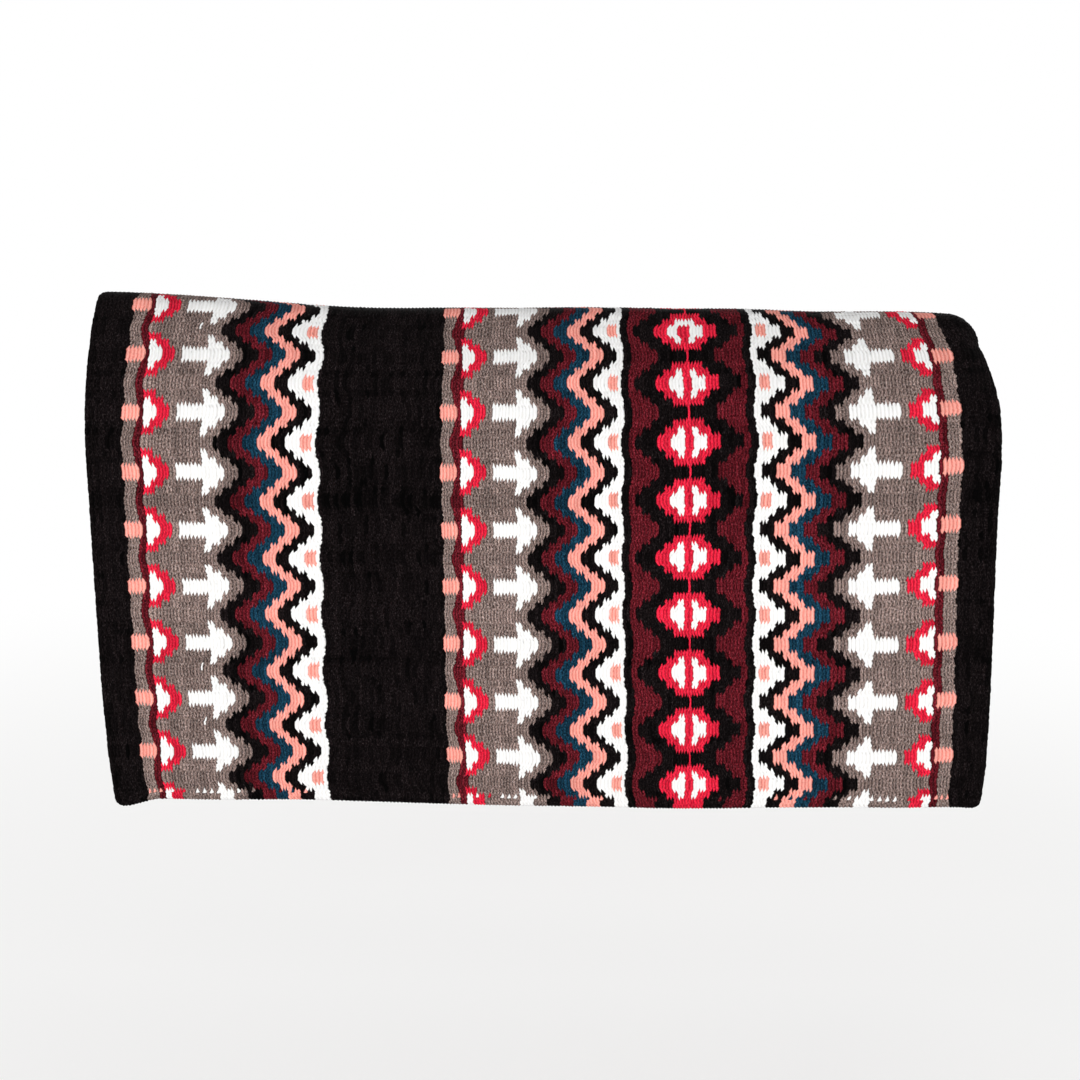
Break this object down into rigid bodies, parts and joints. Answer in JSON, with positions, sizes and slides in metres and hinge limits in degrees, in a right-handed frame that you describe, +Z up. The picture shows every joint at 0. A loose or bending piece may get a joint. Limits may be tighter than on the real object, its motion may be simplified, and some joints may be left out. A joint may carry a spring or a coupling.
{
  "type": "saddle blanket",
  "caption": "Heavy woven wool saddle blanket hung over a rail, with zigzag bands, crosses and stepped diamonds, whose near and off flaps lift from the ridge.",
  "frame": {"origin": "on the flat underside of the ridge of the fold, half way along it, where the rail carries it", "axes": "+Z up, +X along the ridge towards the drooping end, -Y towards the near flap, which the picture shows"},
  "size_m": [0.8998, 0.1962, 0.4928],
  "materials": {
    "black_wool": "matt weft-faced wool, near black, with a soft nap",
    "grey_wool": "matt heathered grey wool with black, coral, red and white figures",
    "zigzag_wool": "matt wool in teal, coral, maroon and black zigzag stripes",
    "diamond_wool": "matt wool in black and maroon with red and white stepped diamonds"
  },
  "bodies": {
    "spine": {"left_border_spine": "black_wool", "left_motif_spine": "grey_wool", "left_zigzag_spine": "zigzag_wool", "black_field_spine": "black_wool", "middle_motif_spine": "grey_wool", "middle_zigzag_spine": "zigzag_wool", "diamond_band_spine": "diamond_wool", "right_zigzag_spine": "zigzag_wool", "right_motif_spine": "grey_wool", "right_border_spine": "black_wool"},
    "near_flap": {"left_border_near": "black_wool", "left_motif_near": "grey_wool", "left_zigzag_near": "zigzag_wool", "black_field_near": "black_wool", "middle_motif_near": "grey_wool", "middle_zigzag_near": "zigzag_wool", "diamond_band_near": "diamond_wool", "right_zigzag_near": "zigzag_wool", "right_motif_near": "grey_wool", "right_border_near": "black_wool", "selvedge_near": "black_wool"},
    "off_flap": {"left_border_off": "black_wool", "left_motif_off": "grey_wool", "left_zigzag_off": "zigzag_wool", "black_field_off": "black_wool", "middle_motif_off": "grey_wool", "middle_zigzag_off": "zigzag_wool", "diamond_band_off": "diamond_wool", "right_zigzag_off": "zigzag_wool", "right_motif_off": "grey_wool", "right_border_off": "black_wool", "selvedge_off": "black_wool"}
  },
  "joints": [
    {"name": "near_flap_lift", "type": "hinge", "parent": "spine", "child": "near_flap", "pos_m": [0, -0.02472, -0.00043], "axis": [-1, 0, 0], "range_deg": [0, 80]},
    {"name": "off_flap_lift", "type": "hinge", "parent": "spine", "child": "off_flap", "pos_m": [0, 0.02472, -0.00043], "axis": [1, 0, 0], "range_deg": [0, 80]}
  ]
}
